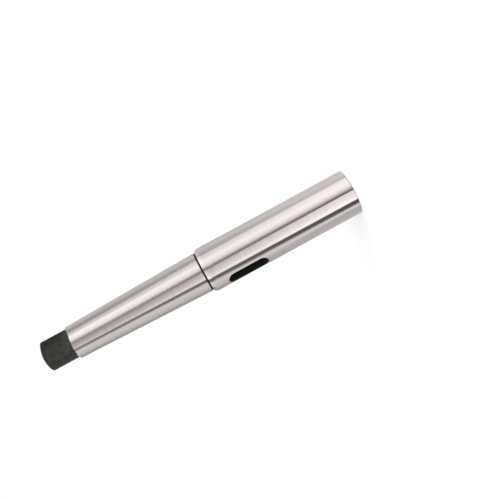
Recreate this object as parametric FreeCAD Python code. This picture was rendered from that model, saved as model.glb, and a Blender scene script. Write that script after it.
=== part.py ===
"""Extension sleeve for taper-shank drills and reamers, turned and ground from one bar of tool steel.

A No. 2 Morse taper shank with a tang grows out of a straight cylindrical body. The body's free end
is bored as a No. 1 Morse taper socket, and a drift slot goes through the body at the socket's root,
where a drift key pushes the tool out by its tang.

Frame, in millimetres: the origin is the centre of the socket's mouth face, and +Z runs along the
axis to the tip of the tang. The drift slot goes through along X, and the tang's flats face +Y and -Y.
"""
import FreeCAD, Part
import math
import os

from FreeCAD import Vector

# --- Body ---------------------------------------------------------------------------------------
BODY_DIAMETER = 20.0
MOUTH_OUTER_CHAMFER = 0.4
SHOULDER_CHAMFER_RADIAL = 0.7
SHOULDER_CHAMFER_AXIAL = 1.3
SLOT_TO_SHOULDER = 7.7            # solid steel between the drift slot and the shoulder

# --- Shank, a No. 2 Morse taper -------------------------------------------------------------------
SHANK_GAUGE_DIAMETER = 17.780
SHANK_TAPER = 1.0 / 20.020        # loss of diameter for each millimetre of length
SHOULDER_TO_SHANK_GAUGE = 1.8     # the gauge plane stands this far beyond the shoulder
CONE_LENGTH = 63.0                # from the shoulder to the cone's small end
CONE_END_CHAMFER = 0.3
RELIEF_WIDTH = 0.6                # grinding relief in the corner at the shoulder
RELIEF_DEPTH = 0.2

# --- Tang -----------------------------------------------------------------------------------------
TANG_LENGTH = 13.8                # from the cone's small end to the tip
TANG_DIAMETER = 13.2
TANG_THICKNESS = 6.3
TANG_FLAT_LENGTH = 9.0            # from the tip to where the cutter starts to run out
TANG_CUTTER_RADIUS = 6.0
TIP_CROWN_RADIUS = 18.0
TIP_CORNER_CHAMFER = 0.4
TIP_CENTRE_DIAMETER = 2.0         # drill part of the turning centre in the tip
TIP_CENTRE_MOUTH = 4.2            # widest part of its 60 degree cone
TIP_CENTRE_DEPTH = 4.0

# --- Socket, a No. 1 Morse taper ------------------------------------------------------------------
SOCKET_GAUGE_DIAMETER = 12.065
SOCKET_TAPER = 1.0 / 20.047
SOCKET_GAUGE_PROUD = 7.0          # the gauge plane lies this far in front of the mouth face
SOCKET_GAUGE_TO_BORE_END = 56.0
SOCKET_GAUGE_TO_SLOT = 52.0
TANG_BORE_DIAMETER = 9.7          # parallel bore beyond the taper, which clears the tool's tang
MOUTH_INNER_CHAMFER = 0.6
DRILL_POINT_ANGLE = 118.0

# --- Drift slot -----------------------------------------------------------------------------------
SLOT_WIDTH = 5.8
SLOT_LENGTH = 18.3
SLOT_EDGE_CHAMFER = 0.3

CENTRE_CONE_ANGLE = 60.0
CUT_OVERRUN = 1.0                 # how far a cutting solid reaches beyond what it cuts
STEEL_DENSITY = 7.85e-6           # kilograms in a cubic millimetre

# --- Places along the axis, worked out from the sizes above ---------------------------------------
SLOT_START_Z = SOCKET_GAUGE_TO_SLOT - SOCKET_GAUGE_PROUD
SLOT_END_Z = SLOT_START_Z + SLOT_LENGTH
SHOULDER_Z = SLOT_END_Z + SLOT_TO_SHOULDER
BORE_END_Z = SOCKET_GAUGE_TO_BORE_END - SOCKET_GAUGE_PROUD
CONE_END_Z = SHOULDER_Z + CONE_LENGTH
TIP_Z = CONE_END_Z + TANG_LENGTH

BODY_RADIUS = BODY_DIAMETER / 2
TANG_RADIUS = TANG_DIAMETER / 2


def shank_radius(z):
    """Radius of the shank's cone at height z."""
    beyond_gauge = z - SHOULDER_Z - SHOULDER_TO_SHANK_GAUGE
    return (SHANK_GAUGE_DIAMETER - beyond_gauge * SHANK_TAPER) / 2


def socket_radius(z):
    """Radius of the socket's cone at height z inside the body."""
    return (SOCKET_GAUGE_DIAMETER - (z + SOCKET_GAUGE_PROUD) * SOCKET_TAPER) / 2


def point(radius, z):
    """A point of a turned profile, in the XZ half plane."""
    return Vector(radius, 0, z)


def straight_edges(points):
    """The edges that join the points one after another."""
    return [Part.LineSegment(a, b).toShape() for a, b in zip(points, points[1:])]


def turned(edges):
    """The solid that a closed profile in the XZ half plane sweeps round the Z axis."""
    profile = Part.Face(Part.Wire(edges))
    return profile.revolve(Vector(0, 0, 0), Vector(0, 0, 1), 360)


def crown_drop(radius):
    """How far the crowned tip lies below its summit at the given radius."""
    return TIP_CROWN_RADIUS - math.sqrt(TIP_CROWN_RADIUS ** 2 - radius ** 2)


def outer_blank():
    """The turned outside: body, shoulder, ground cone, round tang stock and crowned tip."""
    relief_radius = shank_radius(SHOULDER_Z) - RELIEF_DEPTH
    relief_top_z = SHOULDER_Z + RELIEF_WIDTH
    relief_exit_z = relief_top_z + RELIEF_DEPTH
    crown_edge_radius = TANG_RADIUS - TIP_CORNER_CHAMFER
    crown_edge_z = TIP_Z - crown_drop(crown_edge_radius)
    outline = [
        point(0, 0),
        point(BODY_RADIUS - MOUTH_OUTER_CHAMFER, 0),
        point(BODY_RADIUS, MOUTH_OUTER_CHAMFER),
        point(BODY_RADIUS, SHOULDER_Z - SHOULDER_CHAMFER_AXIAL),
        point(BODY_RADIUS - SHOULDER_CHAMFER_RADIAL, SHOULDER_Z),
        point(relief_radius, SHOULDER_Z),
        point(relief_radius, relief_top_z),
        point(shank_radius(relief_exit_z), relief_exit_z),
        point(shank_radius(CONE_END_Z - CONE_END_CHAMFER), CONE_END_Z - CONE_END_CHAMFER),
        point(shank_radius(CONE_END_Z) - CONE_END_CHAMFER, CONE_END_Z),
        point(TANG_RADIUS, CONE_END_Z),
        point(TANG_RADIUS, crown_edge_z - TIP_CORNER_CHAMFER),
        point(crown_edge_radius, crown_edge_z),
    ]
    half_way = crown_edge_radius / 2
    crown = Part.Arc(outline[-1], point(half_way, TIP_Z - crown_drop(half_way)), point(0, TIP_Z))
    axis = straight_edges([point(0, TIP_Z), point(0, 0)])
    return turned(straight_edges(outline) + [crown.toShape()] + axis)


def socket_cavity():
    """The space inside the socket: mouth chamfer, taper, tang bore and drill point."""
    taper_end_z = (SOCKET_GAUGE_DIAMETER - TANG_BORE_DIAMETER) / SOCKET_TAPER - SOCKET_GAUGE_PROUD
    bore_radius = TANG_BORE_DIAMETER / 2
    drill_point = bore_radius / math.tan(math.radians(DRILL_POINT_ANGLE / 2))
    mouth_radius = socket_radius(0) + MOUTH_INNER_CHAMFER
    outline = [
        point(0, -CUT_OVERRUN),
        point(mouth_radius + CUT_OVERRUN, -CUT_OVERRUN),
        point(socket_radius(MOUTH_INNER_CHAMFER), MOUTH_INNER_CHAMFER),
        point(bore_radius, taper_end_z),
        point(bore_radius, BORE_END_Z),
        point(0, BORE_END_Z + drill_point),
        point(0, -CUT_OVERRUN),
    ]
    return turned(straight_edges(outline))


def centre_hole():
    """The space of the turning centre drilled into the tip of the tang."""
    half_angle = math.radians(CENTRE_CONE_ANGLE / 2)
    drill_radius = TIP_CENTRE_DIAMETER / 2
    mouth_radius = TIP_CENTRE_MOUTH / 2
    cone_depth = (mouth_radius - drill_radius) / math.tan(half_angle)
    above_radius = mouth_radius + CUT_OVERRUN * math.tan(half_angle)
    drill_point = drill_radius / math.tan(math.radians(DRILL_POINT_ANGLE / 2))
    outline = [
        point(0, TIP_Z + CUT_OVERRUN),
        point(above_radius, TIP_Z + CUT_OVERRUN),
        point(drill_radius, TIP_Z - cone_depth),
        point(drill_radius, TIP_Z - TIP_CENTRE_DEPTH),
        point(0, TIP_Z - TIP_CENTRE_DEPTH - drill_point),
        point(0, TIP_Z + CUT_OVERRUN),
    ]
    return turned(straight_edges(outline))


def tang_cutter_path():
    """What the milling cutter takes off the +Y side: a flat that ends in the cutter's round run-out."""
    flat_y = TANG_THICKNESS / 2
    flat_end_z = TIP_Z - TANG_FLAT_LENGTH
    outer_y = flat_y + TANG_CUTTER_RADIUS
    top_z = TIP_Z + CUT_OVERRUN
    middle = TANG_CUTTER_RADIUS * math.sqrt(0.5)
    flat_end = Vector(0, flat_y, flat_end_z)
    run_out_end = Vector(0, outer_y, flat_end_z - TANG_CUTTER_RADIUS)
    arc = Part.Arc(flat_end, Vector(0, outer_y - middle, flat_end_z - middle), run_out_end)
    sides = straight_edges([run_out_end, Vector(0, outer_y, top_z), Vector(0, flat_y, top_z), flat_end])
    half_width = BODY_RADIUS + CUT_OVERRUN
    face = Part.Face(Part.Wire([arc.toShape()] + sides))
    face.translate(Vector(-half_width, 0, 0))
    return face.extrude(Vector(2 * half_width, 0, 0))


def slot_prism():
    """The drift slot as a bar of obround section that runs past both sides of the body along X."""
    end_radius = SLOT_WIDTH / 2
    low_z = SLOT_START_Z + end_radius
    high_z = SLOT_END_Z - end_radius
    sides = [
        Part.LineSegment(Vector(0, -end_radius, low_z), Vector(0, -end_radius, high_z)).toShape(),
        Part.LineSegment(Vector(0, end_radius, low_z), Vector(0, end_radius, high_z)).toShape(),
    ]
    ends = [
        Part.Arc(Vector(0, -end_radius, low_z), Vector(0, 0, SLOT_START_Z), Vector(0, end_radius, low_z)),
        Part.Arc(Vector(0, -end_radius, high_z), Vector(0, 0, SLOT_END_Z), Vector(0, end_radius, high_z)),
    ]
    outline = Part.Wire(Part.__sortEdges__(sides + [arc.toShape() for arc in ends]))
    half_length = BODY_RADIUS + CUT_OVERRUN
    face = Part.Face(outline)
    face.translate(Vector(-half_length, 0, 0))
    return face.extrude(Vector(2 * half_length, 0, 0))


def slot_mouth_edges(shape):
    """The edges where the drift slot breaks out through the body's cylinder."""
    half_chord = SLOT_WIDTH / 2
    nearest_x = math.sqrt(BODY_RADIUS ** 2 - half_chord ** 2)
    found = []
    for edge in shape.Edges:
        box = edge.BoundBox
        in_slot = box.ZMin > SLOT_START_Z - SLOT_EDGE_CHAMFER and box.ZMax < SLOT_END_Z + SLOT_EDGE_CHAMFER
        if in_slot and min(abs(box.XMin), abs(box.XMax)) > nearest_x - SLOT_EDGE_CHAMFER:
            found.append(edge)
    return found


def extension_sleeve():
    """The whole sleeve."""
    cutter_path = tang_cutter_path()
    other_side = cutter_path.mirror(Vector(0, 0, 0), Vector(0, 1, 0))
    blank = outer_blank().cut([cutter_path, other_side, centre_hole()])
    slotted = blank.cut(slot_prism())
    edged = slotted.makeChamfer(SLOT_EDGE_CHAMFER, slot_mouth_edges(slotted))
    return edged.cut(socket_cavity())


def main():
    os.makedirs("parts", exist_ok=True)
    sleeve = extension_sleeve()
    print("valid", sleeve.isValid(), "solids", len(sleeve.Solids), "volume", round(sleeve.Volume, 1))
    print("height", round(sleeve.BoundBox.ZMax, 3), "mass kg", round(sleeve.Volume * STEEL_DENSITY, 4))
    sleeve.exportStep("parts/extension_sleeve.step")


main()
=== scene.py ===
import math

import bmesh
import bpy
from mathutils import Matrix, Vector


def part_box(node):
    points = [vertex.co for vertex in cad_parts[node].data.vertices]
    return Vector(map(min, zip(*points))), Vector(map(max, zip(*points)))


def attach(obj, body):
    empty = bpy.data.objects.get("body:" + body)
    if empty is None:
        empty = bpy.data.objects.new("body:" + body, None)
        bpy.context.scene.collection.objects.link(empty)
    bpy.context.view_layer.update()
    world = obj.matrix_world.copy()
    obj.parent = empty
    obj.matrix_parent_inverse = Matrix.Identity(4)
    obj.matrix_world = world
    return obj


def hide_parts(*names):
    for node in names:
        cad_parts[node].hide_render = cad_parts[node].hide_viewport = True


bl_info = {
    "name": "Extension Sleeve",
    "version": (1, 0, 0),
    "blender": (4, 5, 0),
    "location": "View3D > Sidebar > Sleeve",
    "description": "A ground extension sleeve for taper-shank drills, and a plain stage for it",
    "category": "Object",
}

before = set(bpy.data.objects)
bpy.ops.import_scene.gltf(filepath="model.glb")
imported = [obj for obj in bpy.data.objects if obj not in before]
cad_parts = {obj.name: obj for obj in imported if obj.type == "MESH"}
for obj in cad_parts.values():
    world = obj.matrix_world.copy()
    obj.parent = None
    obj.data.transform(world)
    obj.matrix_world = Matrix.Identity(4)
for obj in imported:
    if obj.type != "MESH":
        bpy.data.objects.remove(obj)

NODE = "extension_sleeve"
MM = 0.001
LOW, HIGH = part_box(NODE)
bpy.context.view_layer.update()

BODY_DIAMETER = round((HIGH.x - LOW.x) / MM, 2) * MM


def length(name, description, millimetres):
    """A length property, kept in metres."""
    return bpy.props.FloatProperty(
        name=name,
        description=description,
        default=millimetres * MM,
        min=0.0,
        subtype="DISTANCE",
        unit="LENGTH",
    )


def colour(name, description, rgb):
    """A colour property."""
    return bpy.props.FloatVectorProperty(
        name=name, description=description, default=rgb, size=3, min=0.0, max=1.0, subtype="COLOR"
    )


class SleeveSizes(bpy.types.PropertyGroup):
    """The sleeve's lengths and diameters."""

    body_diameter: length("Body Diameter", "Diameter of the straight body", BODY_DIAMETER / MM)
    body_length: length("Body Length", "From the socket's mouth face to the shoulder", 71.0)
    gauge_diameter: length("Shank Gauge Diameter", "Diameter of the shank's cone at its gauge plane", 17.780)
    gauge_offset: length("Shank Gauge Offset", "From the shoulder to the shank's gauge plane", 1.8)
    cone_length: length("Cone Length", "From the shoulder to the cone's small end", 63.0)
    tang_length: length("Tang Length", "From the cone's small end to the tip", 13.8)
    tang_diameter: length("Tang Diameter", "Diameter of the round stock that the tang is cut from", 13.2)
    tang_thickness: length("Tang Thickness", "Across the tang's two flats", 6.3)
    tang_flat_length: length("Tang Flat Length", "From the tip to where the cutter starts to run out", 9.0)
    cutter_radius: length("Cutter Radius", "Radius of the milling cutter's run-out at the tang", 6.0)
    crown_radius: length("Crown Radius", "Radius of the crowned tip", 18.0)
    socket_diameter: length("Socket Diameter", "Diameter of the socket's cone at the mouth face", 11.716)
    tang_bore_diameter: length("Tang Bore Diameter", "Straight bore beyond the socket's cone", 9.7)
    bore_depth: length("Bore Depth", "From the mouth face to the end of the straight bore", 49.0)
    slot_start: length("Slot Start", "From the mouth face to the near end of the drift slot", 45.0)
    slot_length: length("Slot Length", "Length of the drift slot", 18.3)
    slot_width: length("Slot Width", "Width of the drift slot", 5.8)
    slot_edge: length("Slot Edge Break", "Rounding of the drift slot's edges", 0.3)


class SleeveFinish(bpy.types.PropertyGroup):
    """The sleeve's colours and finish."""

    steel: colour("Ground Steel", "Colour of the ground body and cone", (0.575, 0.522, 0.514))
    oxide: colour("Black Oxide", "Colour of the scale on the tang and in the slot", (0.030, 0.031, 0.027))
    brown_oxide: colour("Brown Oxide", "Colour of that scale's thin patches", (0.060, 0.049, 0.036))
    roughness: bpy.props.FloatProperty(
        name="Roughness",
        description="Roughness of the ground steel",
        default=0.11,
        min=0.05,
        max=1.0,
        subtype="FACTOR",
    )


# ---------------------------------------------------------------------------------------- the sleeve

TURNS = 192
SHANK_TAPER = 1 / 20.020
SOCKET_TAPER = 1 / 20.047
RELIEF_DEPTH = 0.2 * MM
RELIEF_WIDTH = 0.6 * MM
RELIEF_END = 0.8 * MM
MOUTH_OUTER_CHAMFER = 0.4 * MM
MOUTH_INNER_CHAMFER = 0.6 * MM
SHOULDER_CHAMFER_WIDTH = 0.7 * MM
SHOULDER_CHAMFER_LENGTH = 1.3 * MM
CONE_END_CHAMFER = 0.3 * MM
TIP_CORNER_CHAMFER = 0.4 * MM
CENTRE_MOUTH_RADIUS = 2.1 * MM
CENTRE_DRILL_RADIUS = 1.0 * MM
CENTRE_DEPTH = 4.0 * MM
COUNTERSINK_SLOPE = math.tan(math.radians(30))
DRILL_POINT_SLOPE = math.tan(math.radians(59))
CROWN_RADII = (6.0, 5.2, 4.4, 3.6, 2.8)
LONGEST_EDGE = 2.5 * MM
CREASE = math.radians(24)


def drawn(bm, places):
    """Draws an open outline, one extruded vertex after another, and gives its vertices."""
    verts = [bm.verts.new(places[0])]
    for place in places[1:]:
        new = bmesh.ops.extrude_vert_indiv(bm, verts=verts[-1:])["verts"][0]
        new.co = place
        verts.append(new)
    return verts


def finished_object(name, bm):
    """An object with bm's mesh, at the origin."""
    mesh = bpy.data.meshes.new(name)
    bm.to_mesh(mesh)
    bm.free()
    made = bpy.data.objects.new(name, mesh)
    bpy.context.scene.collection.objects.link(made)
    return made


def shank_radius(s, z):
    """Radius of the shank's cone at height z."""
    return (s.gauge_diameter - (z - s.body_length - s.gauge_offset) * SHANK_TAPER) / 2


def socket_radius(s, z):
    """Radius of the socket's cone at height z."""
    return (s.socket_diameter - z * SOCKET_TAPER) / 2


def sleeve_outline(s):
    """Half of the sleeve's section as radius and height: up the inside, then back from mouth to tip."""
    body = s.body_diameter / 2
    shoulder = s.body_length
    cone_end = shoulder + s.cone_length
    tip = cone_end + s.tang_length
    relief = shank_radius(s, shoulder) - RELIEF_DEPTH
    tang = s.tang_diameter / 2
    corner = tang - TIP_CORNER_CHAMFER

    def crown(radius):
        return tip - s.crown_radius + math.sqrt(s.crown_radius ** 2 - radius ** 2)

    bore = s.tang_bore_diameter / 2
    taper_end = (s.socket_diameter - s.tang_bore_diameter) / SOCKET_TAPER
    inside = [
        (0, s.bore_depth + bore / DRILL_POINT_SLOPE),
        (bore, s.bore_depth),
        (bore, taper_end),
        (socket_radius(s, MOUTH_INNER_CHAMFER), MOUTH_INNER_CHAMFER),
        (socket_radius(s, 0) + MOUTH_INNER_CHAMFER, 0),
    ]
    outside = [
        (body - MOUTH_OUTER_CHAMFER, 0),
        (body, MOUTH_OUTER_CHAMFER),
        (body, shoulder - SHOULDER_CHAMFER_LENGTH),
        (body - SHOULDER_CHAMFER_WIDTH, shoulder),
        (relief, shoulder),
        (relief, shoulder + RELIEF_WIDTH),
        (shank_radius(s, shoulder + RELIEF_END), shoulder + RELIEF_END),
        (shank_radius(s, cone_end - CONE_END_CHAMFER), cone_end - CONE_END_CHAMFER),
        (shank_radius(s, cone_end) - CONE_END_CHAMFER, cone_end),
        (tang, cone_end),
        (tang, crown(corner) - TIP_CORNER_CHAMFER),
    ]
    tip_end = [(r * MM, crown(r * MM)) for r in CROWN_RADII]
    drill = CENTRE_DRILL_RADIUS
    cone_foot = tip - (CENTRE_MOUTH_RADIUS - drill) / COUNTERSINK_SLOPE
    rim = CENTRE_MOUTH_RADIUS
    for _ in range(6):  # settles where the countersink meets the crown
        rim = drill + (crown(rim) - cone_foot) * COUNTERSINK_SLOPE
    centre = [
        (rim, crown(rim)),
        (drill, cone_foot),
        (drill, tip - CENTRE_DEPTH),
        (0, tip - CENTRE_DEPTH - drill / DRILL_POINT_SLOPE),
    ]
    return inside + outside + tip_end + centre


def turned_blank(s):
    """The sleeve as it leaves the lathe, bored but not milled."""
    bm = bmesh.new()
    drawn(bm, [(r, 0, z) for r, z in sleeve_outline(s)])
    for edge in bm.edges[:]:
        cuts = int(edge.calc_length() / LONGEST_EDGE)
        if cuts:
            bmesh.ops.subdivide_edges(bm, edges=[edge], cuts=cuts)
    bmesh.ops.spin(
        bm,
        geom=bm.verts[:] + bm.edges[:],
        cent=(0, 0, 0),
        axis=(0, 0, 1),
        angle=math.tau,
        steps=TURNS,
        use_merge=True,
    )
    bmesh.ops.remove_doubles(bm, verts=bm.verts[:], dist=1e-7)
    bmesh.ops.recalc_face_normals(bm, faces=bm.faces[:])
    return finished_object("blank", bm)


def slot_cutter(s):
    """The drift slot as a cutting body: straight walls that flare where they break out of the body."""
    body = s.body_diameter / 2
    end_radius = s.slot_width / 2
    half = s.slot_length / 2 - end_radius
    middle = s.slot_start + s.slot_length / 2
    bm = bmesh.new()
    first = bm.verts.new((0, end_radius, half))
    bmesh.ops.spin(bm, geom=[first], cent=(0, 0, half), axis=(1, 0, 0), angle=math.pi, steps=32)
    bmesh.ops.mirror(bm, geom=bm.verts[:] + bm.edges[:], axis="Z", merge_dist=-1)
    bm.verts.ensure_lookup_table()
    for side in (1, -1):
        level = [v for v in bm.verts if abs(v.co.y - side * end_radius) < 1e-7]
        ends = [v for v in level if abs(abs(v.co.z) - half) < 1e-7]
        bmesh.ops.contextual_create(bm, geom=ends)
    ring = bm.edges[:]

    def grown(edges, outwards, radius):
        """Extrudes the ring, grows it by outwards and wraps it onto a bar of that radius, or a flat."""
        new = bmesh.ops.extrude_edge_only(bm, edges=edges)["geom"]
        verts = [g for g in new if isinstance(g, bmesh.types.BMVert)]
        for sign in (1, -1):
            here = [v for v in verts if v.co.z * sign > 0]
            now = max(abs(v.co.y) for v in here)
            by = (end_radius + outwards) / now
            centre = Matrix.Translation((0, 0, -sign * half))
            bmesh.ops.scale(bm, vec=(1, by, by), space=centre, verts=here)
        for v in verts:
            v.co.x = math.sqrt(radius ** 2 - v.co.y ** 2) if radius else body + 2 * MM
        return [g for g in new if isinstance(g, bmesh.types.BMEdge)]

    for angle in (0, 30, 60, 80):
        turn = math.radians(angle)
        ring = grown(ring, s.slot_edge * (1 - math.cos(turn)), body - s.slot_edge * (1 - math.sin(turn)))
    ring = grown(ring, s.slot_edge * 1.6, body + s.slot_edge * 0.3)
    ring = grown(ring, s.slot_edge * 1.6, None)
    bmesh.ops.edgeloop_fill(bm, edges=ring)
    bmesh.ops.mirror(bm, geom=bm.verts[:] + bm.edges[:] + bm.faces[:], axis="X", merge_dist=1e-7)
    bmesh.ops.translate(bm, vec=(0, 0, middle), verts=bm.verts[:])
    bmesh.ops.recalc_face_normals(bm, faces=bm.faces[:])
    return finished_object("slot_cutter", bm)


def tang_cutters(s):
    """What the milling cutter takes off both sides of the tang, as one mesh."""
    tip = s.body_length + s.cone_length + s.tang_length
    flat = s.tang_thickness / 2
    flat_end = tip - s.tang_flat_length
    bm = bmesh.new()
    start = bm.verts.new((0, flat, flat_end))
    arc_centre = (0, flat + s.cutter_radius, flat_end)
    bmesh.ops.spin(bm, geom=[start], cent=arc_centre, axis=(1, 0, 0), angle=math.pi / 2, steps=24)
    top = tip + 2 * MM
    high = max(bm.verts, key=lambda v: v.co.y)
    ends = [start, high]
    for v in ends:
        new = bmesh.ops.extrude_vert_indiv(bm, verts=[v])["verts"][0]
        new.co.z = top
    bmesh.ops.edgeloop_fill(bm, edges=bm.edges[:])
    tops = [v for v in bm.verts if abs(v.co.z - top) < 1e-7]
    if not bm.faces:
        bmesh.ops.contextual_create(bm, geom=tops)
        bmesh.ops.edgeloop_fill(bm, edges=bm.edges[:])
    bmesh.ops.translate(bm, vec=(-12 * MM, 0, 0), verts=bm.verts[:])
    made = bmesh.ops.extrude_face_region(bm, geom=bm.faces[:])["geom"]
    bmesh.ops.translate(bm, vec=(24 * MM, 0, 0), verts=[g for g in made if isinstance(g, bmesh.types.BMVert)])
    bmesh.ops.mirror(bm, geom=bm.verts[:] + bm.edges[:] + bm.faces[:], axis="Y", merge_dist=-1)
    bmesh.ops.recalc_face_normals(bm, faces=bm.faces[:])
    return finished_object("tang_cutters", bm)


def cut(solid, *cutters):
    """Takes the cutters out of the solid for good, and removes them."""
    for cutter in cutters:
        boolean = solid.modifiers.new(cutter.name, "BOOLEAN")
        boolean.operation = "DIFFERENCE"
        boolean.solver = "EXACT"
        boolean.object = cutter
    bpy.context.view_layer.update()
    shaped = solid.evaluated_get(bpy.context.evaluated_depsgraph_get())
    mesh = bpy.data.meshes.new_from_object(shaped)
    if not mesh.polygons:
        raise RuntimeError("the cut left nothing of " + solid.name)
    solid.modifiers.clear()
    solid.data = mesh
    for cutter in cutters:
        bpy.data.objects.remove(cutter)


# SCALE is the darker oxide material: painted shade in the slot, bore, relief and on the shoulder face.
GROUND, TURNED, OXIDE, SCALE = range(4)


def sort_faces(s, mesh):
    """Gives each face its finish: ground, turned, or the black oxide that neither has reached, with painted
    shade darkening that oxide off the tang.
    """
    body = s.body_diameter / 2
    shoulder = s.body_length
    cone_end = shoulder + s.cone_length
    tang = s.tang_diameter / 2
    near = 0.01 * MM
    chamfer_radius = body - SHOULDER_CHAMFER_WIDTH - near
    chamfer_start = shoulder - SHOULDER_CHAMFER_LENGTH - near
    relief_start = shoulder + RELIEF_WIDTH - near
    relief_end = shoulder + RELIEF_END + near
    for face in mesh.polygons:
        places = [mesh.vertices[i].co for i in face.vertices]
        polar = [(math.hypot(p.x, p.y), p.z) for p in places]
        ground = (
            all(abs(r - body) < near and z < shoulder for r, z in polar)
            or all(abs(r - shank_radius(s, z)) < near and shoulder < z < cone_end for r, z in polar)
            or all(relief_start < z < relief_end for r, z in polar)
            or all(r > tang + near and z > cone_end - CONE_END_CHAMFER - near for r, z in polar)
            or all(r > chamfer_radius and chamfer_start < z < shoulder + near for r, z in polar)
            or all(z < MOUTH_INNER_CHAMFER + near for r, z in polar)
        )
        in_socket = all(abs(r - socket_radius(s, z)) < near and z < s.bore_depth for r, z in polar)
        on_tang = face.center.z > shoulder + 1 * MM
        if ground:
            face.material_index = GROUND
        elif in_socket:
            face.material_index = TURNED
        else:
            # Off the tang the oxide gets the darker material, which is painted shade.
            face.material_index = OXIDE if on_tang else SCALE


def true_normals(s, mesh):
    """Smooth shading that keeps its creases, with the exact round normals on the ground body and cone."""
    mesh.shade_smooth()
    mesh.set_sharp_from_angle(angle=CREASE)
    shoulder, cone_end = s.body_length, s.body_length + s.cone_length
    cone_rise = SHANK_TAPER / 2
    slack = 0.01 * MM
    normals = [Vector(n.vector) for n in mesh.corner_normals]
    for face in mesh.polygons:
        corners = range(face.loop_start, face.loop_start + face.loop_total)
        places = [mesh.vertices[mesh.loops[i].vertex_index].co for i in corners]
        on_body = all(
            abs(math.hypot(p.x, p.y) - s.body_diameter / 2) < 0.004 * MM
            and MOUTH_OUTER_CHAMFER - slack < p.z < shoulder - SHOULDER_CHAMFER_LENGTH + slack
            for p in places
        )
        on_cone = all(
            abs(math.hypot(p.x, p.y) - shank_radius(s, p.z)) < 0.004 * MM
            and shoulder + RELIEF_END - slack < p.z < cone_end - CONE_END_CHAMFER + slack
            for p in places
        )
        if on_body or on_cone:
            for i, p in zip(corners, places):
                n = Vector((p.x, p.y, 0)).normalized()
                n.z = cone_rise if on_cone else 0
                normals[i] = n.normalized()
    mesh.normals_split_custom_set([tuple(n) for n in normals])


# ---------------------------------------------------------------------------------------- materials


class Nodes:
    """A short way to lay out a material's nodes."""

    def __init__(self, name):
        self.material = bpy.data.materials.new(name)
        self.material.use_nodes = True
        self.tree = self.material.node_tree
        self.tree.nodes.clear()
        self.output = self.add("ShaderNodeOutputMaterial")

    def add(self, kind, inputs=None, **settings):
        node = self.tree.nodes.new(kind)
        for key, value in settings.items():
            setattr(node, key, value)
        for key, value in (inputs or {}).items():
            if isinstance(value, bpy.types.NodeSocket):
                self.tree.links.new(value, node.inputs[key])
            else:
                node.inputs[key].default_value = value
        return node

    def link(self, a, b):
        self.tree.links.new(a, b)

    def ramp(self, fac, stops):
        node = self.add("ShaderNodeValToRGB", {"Fac": fac})
        ramp = node.color_ramp
        while len(ramp.elements) < len(stops):
            ramp.elements.new(0.5)
        for element, (position, value) in zip(ramp.elements, stops):
            element.position = position
            element.color = (value, value, value, 1) if isinstance(value, (int, float)) else (*value, 1)
        return node.outputs["Color"]


def metal(name, colour, roughness, grain):
    """Steel ground or turned round its axis: fine marks that spread the light along it."""
    n = Nodes(name)
    places = n.add("ShaderNodeTexCoord").outputs["Object"]
    marks_place = n.add("ShaderNodeMapping", {"Vector": places, "Scale": (60, 60, 9000)}).outputs[0]
    marks = n.add("ShaderNodeTexNoise", {"Vector": marks_place, "Scale": 1.0, "Detail": 2.0}).outputs["Fac"]
    satin = n.add("ShaderNodeTexNoise", {"Vector": places, "Scale": 1300.0, "Detail": 3.0}).outputs["Fac"]
    darker = tuple(0.95 * c for c in colour)
    lighter = tuple(min(1.0, 1.05 * c) for c in colour)
    tone = n.ramp(satin, [(0.3, darker), (0.7, lighter)])
    rough = n.add(
        "ShaderNodeMapRange",
        {
            "Value": satin,
            "From Min": 0.3,
            "From Max": 0.7,
            "To Min": roughness * 0.9,
            "To Max": roughness * 1.1,
        },
    ).outputs[0]
    tilt = n.add("ShaderNodeMath", {0: marks, 1: 0.5}, operation="SUBTRACT").outputs[0]
    tilt = n.add("ShaderNodeMath", {0: tilt, 1: grain}, operation="MULTIPLY").outputs[0]
    tilted = n.add("ShaderNodeVectorMath", {0: (0, 0, 1), "Scale": tilt}, operation="SCALE").outputs[0]
    normal = n.add("ShaderNodeNewGeometry").outputs["Normal"]
    summed = n.add("ShaderNodeVectorMath", {0: normal, 1: tilted}, operation="ADD").outputs[0]
    final = n.add("ShaderNodeVectorMath", {0: summed}, operation="NORMALIZE").outputs[0]
    shader = n.add(
        "ShaderNodeBsdfPrincipled",
        {"Base Color": tone, "Metallic": 1.0, "Roughness": rough, "Normal": final},
    )
    n.link(shader.outputs[0], n.output.inputs["Surface"])
    return n.material


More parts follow.
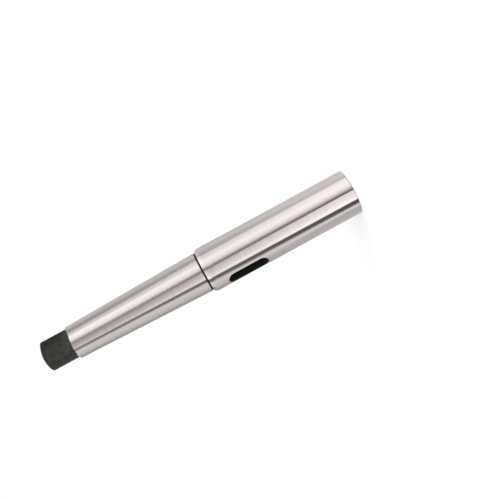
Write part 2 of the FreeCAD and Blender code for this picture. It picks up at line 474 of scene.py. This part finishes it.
def black_oxide(f):
    """The dark, mottled scale of the hardening."""
    n = Nodes("black_oxide")
    places = n.add("ShaderNodeTexCoord").outputs["Object"]
    blotch = n.add(
        "ShaderNodeTexNoise", {"Vector": places, "Scale": 900.0, "Detail": 5.0, "Roughness": 0.65}
    ).outputs["Fac"]
    dark = tuple(0.6 * c for c in f.oxide)
    light = tuple(1.5 * c for c in f.oxide)
    tone = n.ramp(blotch, [(0.36, dark), (0.64, light)])
    spots = n.add("ShaderNodeTexNoise", {"Vector": places, "Scale": 380.0, "Detail": 3.0}).outputs["Fac"]
    spotted = n.add(
        "ShaderNodeMapRange", {"Value": spots, "From Min": 0.52, "From Max": 0.68, "To Max": 0.6}
    ).outputs[0]
    brown = n.add(
        "ShaderNodeMix", {0: spotted, 6: tone, 7: (*f.brown_oxide, 1)}, data_type="RGBA"
    ).outputs[2]
    # Painted shade: the oxide colour falls to 0.3 of itself in the two opposite quarters round the axis where
    # x times y is negative, for the tang's unlit side.
    parts = n.add("ShaderNodeSeparateXYZ", {0: places}).outputs
    across = n.add("ShaderNodeMath", {0: parts["X"], 1: parts["Y"]}, operation="MULTIPLY").outputs[0]
    painted_shade_side = n.add(
        "ShaderNodeMapRange",
        {
            "Value": across,
            "From Min": -20 * MM * MM,
            "From Max": -2 * MM * MM,
            "To Min": 0.3,
            "To Max": 1.0,
        },
    ).outputs[0]
    shaded = n.add("ShaderNodeVectorMath", {0: brown, "Scale": painted_shade_side}, operation="SCALE").outputs[0]
    rough = n.add(
        "ShaderNodeMapRange",
        {"Value": blotch, "From Min": 0.3, "From Max": 0.7, "To Min": 0.55, "To Max": 0.4},
    ).outputs[0]
    bump = n.add("ShaderNodeBump", {"Height": blotch, "Strength": 0.25, "Distance": 0.0001}).outputs[0]
    shader = n.add(
        "ShaderNodeBsdfPrincipled",
        {
            "Base Color": shaded,
            "Metallic": 0.0,
            "Roughness": rough,
            "Specular IOR Level": 0.15,
            "Normal": bump,
        },
    )
    n.link(shader.outputs[0], n.output.inputs["Surface"])
    return n.material


def slot_painted_shade(f):
    """The black oxide in the slot, the drilled bore and the relief, darker than on the tang as painted shade
    in these recesses.
    """
    n = Nodes("slot_painted_shade")
    places = n.add("ShaderNodeTexCoord").outputs["Object"]
    blotch = n.add("ShaderNodeTexNoise", {"Vector": places, "Scale": 700.0, "Detail": 4.0}).outputs["Fac"]
    # Painted shade: 0.3 to 0.9 of the oxide colour, against 0.6 to 1.5 on the tang.
    dark = tuple(0.3 * c for c in f.oxide)
    light = tuple(0.9 * c for c in f.oxide)
    tone = n.ramp(blotch, [(0.35, dark), (0.7, light)])
    shader = n.add(
        "ShaderNodeBsdfPrincipled",
        {"Base Color": tone, "Metallic": 0.0, "Roughness": 0.6, "Specular IOR Level": 0.05},
    )
    n.link(shader.outputs[0], n.output.inputs["Surface"])
    return n.material


class OBJECT_OT_sleeve_model(bpy.types.Operator):
    """Turns, bores, slots and mills the extension sleeve, and gives it its finish"""

    bl_idname = "object.sleeve_model"
    bl_label = "Model the Sleeve"

    def execute(self, context):
        s = context.scene.sleeve_sizes
        f = context.scene.sleeve_finish
        sleeve = turned_blank(s)
        cut(sleeve, slot_cutter(s), tang_cutters(s))
        sleeve.name = "ground_sleeve"
        sleeve.data.name = "ground_sleeve"
        sleeve.data.materials.clear()
        for material in (
            metal("ground_steel", f.steel, f.roughness, 0.3),
            metal("turned_steel", tuple(0.8 * c for c in f.steel), 0.3, 0.5),
            black_oxide(f),
            slot_painted_shade(f),
        ):
            sleeve.data.materials.append(material)
        sort_faces(s, sleeve.data)
        true_normals(s, sleeve.data)
        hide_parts(NODE)
        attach(sleeve, "root")
        return {"FINISHED"}


# ---------------------------------------------------------------------------------------- the stage


class StageSettings(bpy.types.PropertyGroup):
    """The floor, the light and the camera."""

    floor_size: length("Floor Size", "Side of the square floor", 6000.0)
    tent_size: length("Tent Size", "From the sleeve's axis to the walls of the light tent", 700.0)
    camera_distance: length("Camera Distance", "From the sleeve's axis to the camera", 340.54)
    camera_height: length("Camera Height", "Height of the camera above the floor", 59.24)


CAMERA_AZIMUTH = -30.5
FLOOR_GLOW = 0.36
SHADE_LIGHT = 0.6
TENT_LIFT = 0.05 * MM

# The folds of the light tent: its angle in degrees round the sleeve from the camera, and its brightness,
# each at the three heights of the sleeve where its mirror image is set: the mouth, the shoulder and the tang.
MIRROR_HEIGHTS = (0.012, 0.066, 0.135)
TENT_FOLDS = [
    ("behind", (-180, -180, -180), (0.5, 0.4, 0.4)),
    ("side panel", (-150, -146, -154), (0.88, 0.7, 0.8)),
    ("side panel, lit edge", (-106, -122, -120), (1.05, 0.95, 0.82)),
    ("side panel, near edge", (-84, -86, -84), (0.86, 0.63, 0.46)),
    ("key light, soft edge", (-75, -74, -72), (1.5, 1.2, 0.92)),
    ("key light", (-56, -58, -58), (1.63, 1.35, 1.08)),
    ("key light, middle", (-40, -44, -46), (1.66, 1.64, 1.74)),
    ("key light, fading", (-25, -20, -18), (1.25, 1.22, 1.42)),
    ("lens shade", (-9, -9, -4), (0.22, 0.36, 0.52)),
    ("lens shade, far edge", (-3, -2, 4), (0.24, 0.38, 0.48)),
    ("front light", (-1, 0, 8), (1.3, 0.78, 0.55)),
    ("front light, far side", (28, 28, 32), (1.55, 1.17, 0.82)),
    ("front light, bright edge", (40, 40, 38), (1.88, 1.55, 0.98)),
    ("gap before the stand", (44, 43.5, 41), (1.8, 1.45, 0.84)),
    ("stand", (48.5, 47.5, 47.5), (0.11, 0.14, 0.3)),
    ("stand, far side", (66, 61, 53), (0.17, 0.24, 0.28)),
    ("strip light", (74, 72, 66), (1.15, 1.1, 1.06)),
    ("strip light, far side", (80, 82, 84), (1.15, 1.0, 1.0)),
    ("back panel", (90, 104, 100), (0.72, 0.92, 0.92)),
    ("back panel, far side", (135, 138, 138), (0.78, 0.5, 0.46)),
    ("behind, again", (180, 180, 180), (0.5, 0.4, 0.4)),
]


def between_heights(values, z):
    """A fold's value at height z of the sleeve, from its values at the three mirror heights."""
    low, middle, high = MIRROR_HEIGHTS
    if z < middle:
        share = max(0.0, (z - low) / (middle - low))
        return values[0] + (values[1] - values[0]) * share
    share = min(1.0, (z - middle) / (high - middle))
    return values[1] + (values[2] - values[1]) * share


def seen_directly(tree):
    """A value that is 1 for rays from the camera, off a mirror or through glass, and 0 for the rest."""
    path = tree.nodes.new("ShaderNodeLightPath")
    value = path.outputs["Is Camera Ray"]
    for name in ("Is Glossy Ray", "Is Transmission Ray"):
        larger = tree.nodes.new("ShaderNodeMath")
        larger.operation = "MAXIMUM"
        tree.links.new(value, larger.inputs[0])
        tree.links.new(path.outputs[name], larger.inputs[1])
        value = larger.outputs[0]
    return value


def make_floor(t):
    """A plain pale floor that keeps the sleeve's shadow."""
    bm = bmesh.new()
    bmesh.ops.create_grid(bm, x_segments=1, y_segments=1, size=t.floor_size / 2)
    floor = finished_object("floor", bm)
    n = Nodes("pale_floor")
    seen = seen_directly(n.tree)
    lit = n.add("ShaderNodeBsdfDiffuse", {"Color": (0.8, 0.8, 0.8, 1)})
    glow = n.add("ShaderNodeEmission", {"Color": (1, 1, 1, 1)})
    strength = n.add("ShaderNodeMath", {0: seen, 1: FLOOR_GLOW}, operation="MULTIPLY")
    n.link(strength.outputs[0], glow.inputs["Strength"])
    both = n.add("ShaderNodeAddShader", {0: lit.outputs[0], 1: glow.outputs[0]})
    n.link(both.outputs[0], n.output.inputs["Surface"])
    floor.data.materials.append(n.material)


def make_world(context):
    """An even white surround, a little dimmer as a light than to look at."""
    world = bpy.data.worlds.new("studio")
    context.scene.world = world
    world.use_nodes = True
    tree = world.node_tree
    background = next(node for node in tree.nodes if node.type == "BACKGROUND")
    background.inputs["Color"].default_value = (1, 1, 1, 1)
    seen = seen_directly(tree)
    level = tree.nodes.new("ShaderNodeMapRange")
    level.inputs["To Min"].default_value = SHADE_LIGHT
    level.inputs["To Max"].default_value = 1.0
    tree.links.new(seen, level.inputs["Value"])
    tree.links.new(level.outputs[0], background.inputs["Strength"])


def tent_place(t, angle, distance, rise, tilt):
    """A place of the tent that the camera sees mirrored, in the surface facing half of angle from it."""
    turn = -math.radians(angle) / 2
    foot = BODY_DIAMETER / 2 * Vector((math.cos(turn), math.sin(turn), 0))
    if not tilt:
        flat = Vector((math.cos(2 * turn), math.sin(2 * turn), 0))
        return foot + distance * flat + Vector((0, 0, max(TENT_LIFT, distance * math.tan(rise))))
    toward_camera = Vector((1, 0, 0))
    normal = Vector((math.cos(tilt) * math.cos(turn), math.cos(tilt) * math.sin(turn), math.sin(tilt)))
    place = foot + distance * (2 * normal.dot(toward_camera) * normal - toward_camera)
    place.z = max(place.z, distance * math.tan(rise))
    return place


def mirror_height(t, distance, rise):
    """Height on the sleeve where the camera sees this part of the tent."""
    high = distance * math.tan(rise)
    return (t.camera_height * distance + high * t.camera_distance) / (t.camera_distance + distance)


def tent_rows(t):
    """Each row of the tent: how far out, how steeply up, for what tilt of the surface, and its gain."""
    for distance in (-0.6, 0.8, 2, 8, 25, 60, 120, 250, 450):
        yield distance * MM, 0, 0, (0.6 if distance < 1 else 1.0)
    for rise in (0, 6, 12, 18, 24, 30):
        yield t.tent_size, math.radians(rise), 0, 1.0
    for tilt in (18, 22, 28, 40, 60, 80):
        yield t.tent_size, math.radians(33), math.radians(tilt), 1.15


def make_tent(t):
    """A sheet on the floor and a dome over it, whose folds are mirrored as lines along the sleeve."""
    bm = bmesh.new()
    glow = bm.verts.layers.float.new("glow")
    rings = []
    for distance, rise, tilt, gain in tent_rows(t):
        height = MIRROR_HEIGHTS[1] if tilt else mirror_height(t, distance, rise)
        ring = []
        for _, angles, levels in TENT_FOLDS:
            v = bm.verts.new(tent_place(t, between_heights(angles, height), distance, rise, tilt))
            v[glow] = gain * between_heights(levels, height)
            ring.append(v)
        rings.append(ring)
    for lower, upper in zip(rings, rings[1:]):
        for i in range(len(lower) - 1):
            bm.faces.new((lower[i], lower[i + 1], upper[i + 1], upper[i]))
    to_camera = Matrix.Rotation(math.radians(CAMERA_AZIMUTH - 90), 3, "Z")
    bmesh.ops.rotate(bm, verts=bm.verts[:], cent=(0, 0, 0), matrix=to_camera)
    tent = finished_object("light_tent", bm)
    n = Nodes("tent_glow")
    level = n.add("ShaderNodeAttribute", attribute_name="glow").outputs["Fac"]
    shine = n.add("ShaderNodeEmission", {"Color": (1, 1, 1, 1), "Strength": level})
    n.link(shine.outputs[0], n.output.inputs["Surface"])
    tent.data.materials.append(n.material)
    for ray in ("camera", "diffuse", "transmission", "volume_scatter", "shadow"):
        setattr(tent, "visible_" + ray, False)


def make_lamp(context):
    """One wide, soft light from the camera's upper left."""
    data = bpy.data.lights.new("soft_light", "SUN")
    data.energy = 1.1
    data.angle = math.radians(50)
    lamp = bpy.data.objects.new("soft_light", data)
    lamp.rotation_mode = "QUATERNION"
    lamp.rotation_quaternion = Vector((0.25, 0.9, -1.0)).to_track_quat("-Z", "Y")
    lamp.visible_glossy = False
    context.scene.collection.objects.link(lamp)


def make_camera(context, t):
    """The camera, about level with the shoulder and rolled so that the sleeve lies across the view."""
    data = bpy.data.cameras.new("camera")
    data.lens = 57.6
    data.sensor_width = 36.0
    camera = bpy.data.objects.new("camera", data)
    context.scene.collection.objects.link(camera)
    context.scene.camera = camera
    azimuth = math.radians(CAMERA_AZIMUTH)
    towards = Vector((math.sin(azimuth), -math.cos(azimuth), 0))
    side = Vector((-math.cos(azimuth), -math.sin(azimuth), 0))
    up = Vector((0, 0, 1))
    into = -towards
    right = -0.87794 * up - 0.02645 * into + 0.47805 * side
    down = 0.47796 * up + 0.01002 * into + 0.87833 * side
    ahead = -0.02802 * up + 0.99960 * into + 0.00384 * side
    turn = Matrix((right, -down, -ahead)).transposed().to_4x4()
    camera.matrix_world = Matrix.Translation(towards * t.camera_distance + up * t.camera_height) @ turn


class OBJECT_OT_sleeve_stage(bpy.types.Operator):
    """Lays the floor and sets up the light, the light tent and the camera"""

    bl_idname = "object.sleeve_stage"
    bl_label = "Set the Stage"

    def execute(self, context):
        t = context.scene.sleeve_stage
        make_floor(t)
        make_world(context)
        make_tent(t)
        make_lamp(context)
        make_camera(context, t)
        context.scene.view_settings.view_transform = "Standard"
        return {"FINISHED"}


class VIEW3D_PT_sleeve(bpy.types.Panel):
    """Lists the sleeve's sizes, finish and stage"""

    bl_label = "Extension Sleeve"
    bl_idname = "VIEW3D_PT_sleeve"
    bl_space_type = "VIEW_3D"
    bl_region_type = "UI"
    bl_category = "Sleeve"

    def draw(self, context):
        layout = self.layout
        scene = context.scene
        for group, operator in (
            (scene.sleeve_sizes, None),
            (scene.sleeve_finish, "object.sleeve_model"),
            (scene.sleeve_stage, "object.sleeve_stage"),
        ):
            column = layout.column()
            for name in group.__annotations__:
                column.prop(group, name)
            if operator:
                column.operator(operator)


CLASSES = (
    SleeveSizes,
    SleeveFinish,
    StageSettings,
    OBJECT_OT_sleeve_model,
    OBJECT_OT_sleeve_stage,
    VIEW3D_PT_sleeve,
)


def register():
    for cls in CLASSES:
        bpy.utils.register_class(cls)
    bpy.types.Scene.sleeve_sizes = bpy.props.PointerProperty(type=SleeveSizes)
    bpy.types.Scene.sleeve_finish = bpy.props.PointerProperty(type=SleeveFinish)
    bpy.types.Scene.sleeve_stage = bpy.props.PointerProperty(type=StageSettings)


def unregister():
    del bpy.types.Scene.sleeve_stage
    del bpy.types.Scene.sleeve_finish
    del bpy.types.Scene.sleeve_sizes
    for cls in reversed(CLASSES):
        bpy.utils.unregister_class(cls)


def main():
    register()
    bpy.ops.object.sleeve_model()
    bpy.ops.object.sleeve_stage()


if __name__ == "__main__":
    main()
